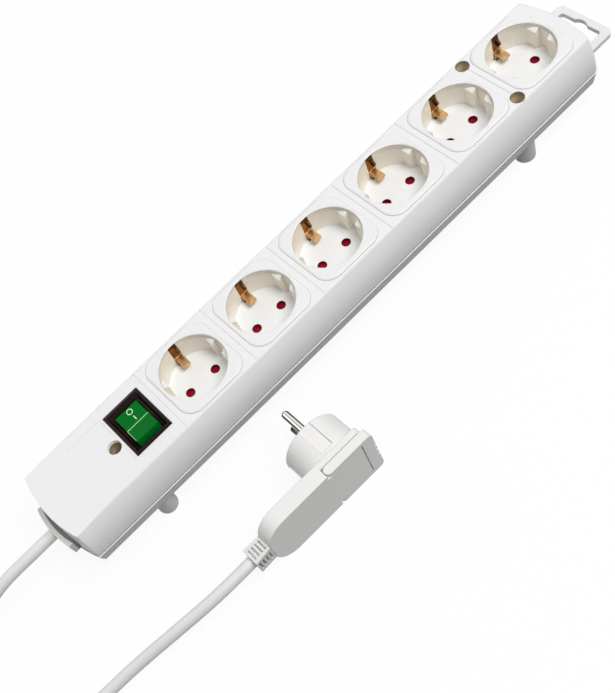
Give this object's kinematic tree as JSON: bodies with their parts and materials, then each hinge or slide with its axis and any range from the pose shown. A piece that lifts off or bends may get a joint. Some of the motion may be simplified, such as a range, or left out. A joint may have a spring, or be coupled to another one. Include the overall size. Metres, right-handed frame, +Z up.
{
  "type": "power strip",
  "caption": "Long mains extension block with a row of round earthed sockets, an illuminated rocker switch, a hanging eyelet, wall-screw wells and a corded flat plug with a folding bail",
  "frame": {"origin": "On the floor under the middle of the strip, halfway between the cord bushing and the eyelet, cord and plug left out.", "axes": "+X runs along the strip from the cord end to the eyelet, +Y across it away from the camera, +Z up out of the sockets."},
  "size_m": [0.634, 0.1264, 0.0545],
  "materials": {
    "body_white": "satin moulded white",
    "base_grey": "fine matt pale grey",
    "cup_white": "smooth moulded warm white",
    "shutter_red": "smooth deep red",
    "brass": "bright stamped strip",
    "switch_black": "glossy near-black",
    "rocker_green": "translucent green",
    "tab_metal": "plated tab",
    "lamp_glass": "clear glow lamp",
    "bushing_white": "satin pale",
    "clamp_grey": "moulded fibre",
    "screw_steel": "zinc plated",
    "wire_brown": "smooth insulation",
    "wire_blue": "smooth insulation",
    "wire_green_yellow": "striped insulation",
    "plug_white": "satin moulded white",
    "pin_metal": "polished nickel",
    "cord_white": "smooth matt sheath",
    "tie_grey": "soft strap"
  },
  "bodies": {
    "housing": {"upper_shell": "body_white", "base_shell": "base_grey", "socket_cup_1": "cup_white", "socket_cup_2": "cup_white", "socket_cup_3": "cup_white", "socket_cup_4": "cup_white", "socket_cup_5": "cup_white", "socket_cup_6": "cup_white", "live_rail": "brass", "neutral_rail": "brass", "earth_rail": "brass", "switch_frame": "switch_black", "switch_terminals": "tab_metal", "switch_lamp": "lamp_glass", "hanging_eyelet": "bushing_white", "cord_bushing": "bushing_white", "cord_clamp": "clamp_grey", "clamp_screws": "screw_steel", "base_screws": "screw_steel", "live_wires": "wire_brown", "neutral_wires": "wire_blue", "earth_wire": "wire_green_yellow", "plug_body": "plug_white", "plug_pins": "pin_metal", "plug_earth_strips": "pin_metal", "plug_boot": "plug_white", "cord_lead": "cord_white", "cord_coil": "cord_white", "cord_tail": "cord_white", "coil_tie": "tie_grey"},
    "rocker": {"switch_rocker": "rocker_green"},
    "shutter_body_1": {"shutter_1": "shutter_red"},
    "shutter_body_2": {"shutter_2": "shutter_red"},
    "shutter_body_3": {"shutter_3": "shutter_red"},
    "shutter_body_4": {"shutter_4": "shutter_red"},
    "shutter_body_5": {"shutter_5": "shutter_red"},
    "shutter_body_6": {"shutter_6": "shutter_red"},
    "bail": {"plug_bail": "plug_white"}
  },
  "joints": [
    {"name": "rocker_hinge", "type": "hinge", "parent": "housing", "child": "rocker", "pos_m": [-0.1392, 0, 0.0486], "axis": [1, 0, 0], "range_deg": [0, 15]},
    {"name": "shutter_hinge_1", "type": "hinge", "parent": "housing", "child": "shutter_body_1", "pos_m": [-0.097, 0, 0.0324], "axis": [0, 0, 1], "range_deg": [0, 40], "stiffness_Nm_per_rad": 0.004},
    {"name": "shutter_hinge_2", "type": "hinge", "parent": "housing", "child": "shutter_body_2", "pos_m": [-0.0454, 0, 0.0324], "axis": [0, 0, 1], "range_deg": [0, 40], "stiffness_Nm_per_rad": 0.004},
    {"name": "shutter_hinge_3", "type": "hinge", "parent": "housing", "child": "shutter_body_3", "pos_m": [0.0062, 0, 0.0324], "axis": [0, 0, 1], "range_deg": [0, 40], "stiffness_Nm_per_rad": 0.004},
    {"name": "shutter_hinge_4", "type": "hinge", "parent": "housing", "child": "shutter_body_4", "pos_m": [0.0578, 0, 0.0324], "axis": [0, 0, 1], "range_deg": [0, 40], "stiffness_Nm_per_rad": 0.004},
    {"name": "shutter_hinge_5", "type": "hinge", "parent": "housing", "child": "shutter_body_5", "pos_m": [0.1094, 0, 0.0324], "axis": [0, 0, 1], "range_deg": [0, 40], "stiffness_Nm_per_rad": 0.004},
    {"name": "shutter_hinge_6", "type": "hinge", "parent": "housing", "child": "shutter_body_6", "pos_m": [0.161, 0, 0.0324], "axis": [0, 0, 1], "range_deg": [0, 40], "stiffness_Nm_per_rad": 0.004},
    {"name": "bail_hinge", "type": "hinge", "parent": "housing", "child": "bail", "pos_m": [-0.0875, -0.09205, 0.019], "axis": [0, 0, -1], "range_deg": [0, 90]}
  ]
}
